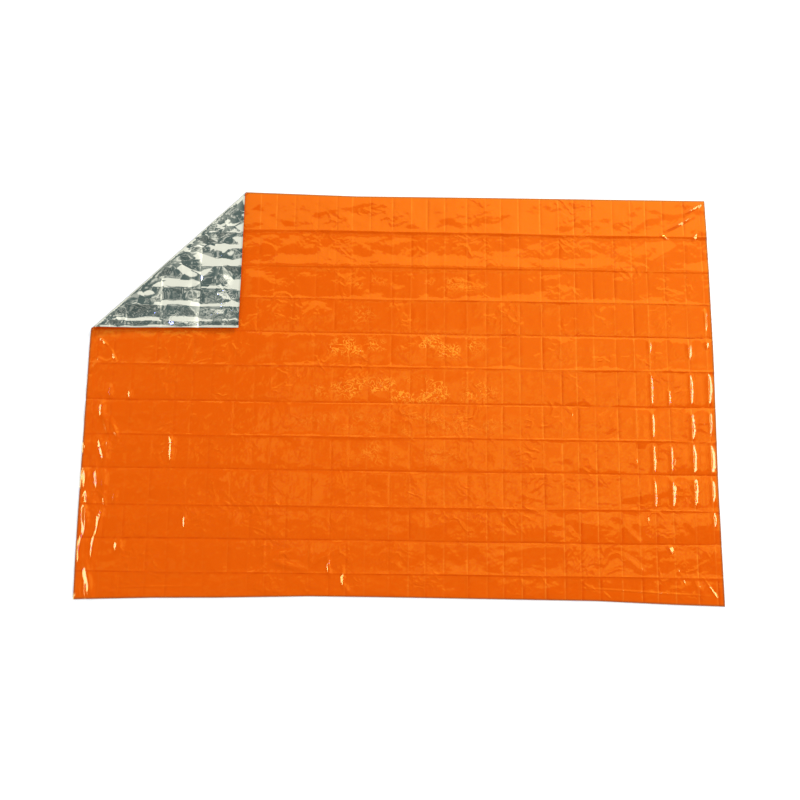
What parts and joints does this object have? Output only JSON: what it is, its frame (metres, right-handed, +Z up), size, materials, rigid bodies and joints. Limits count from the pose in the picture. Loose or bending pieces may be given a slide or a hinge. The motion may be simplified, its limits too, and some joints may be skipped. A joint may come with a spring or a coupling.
{
  "type": "emergency foil blanket",
  "caption": "Thin rectangular emergency blanket of metallised film, orange on one side and silver on the other, laid out creased with one corner turned over.",
  "frame": {"origin": "on the surface the blanket lies on, under the middle of its outline", "axes": "+X along the length, +Y to the back edge, +Z up; the turned corner is at -X +Y"},
  "size_m": [2.134, 1.422, 0.0159],
  "materials": {
    "orange_film": "glossy orange lacquer over vacuum-deposited metal, bare silver metal on the underside and on the turned corner"
  },
  "bodies": {
    "root": {"foil_blanket": "orange_film"}
  },
  "joints": []
}
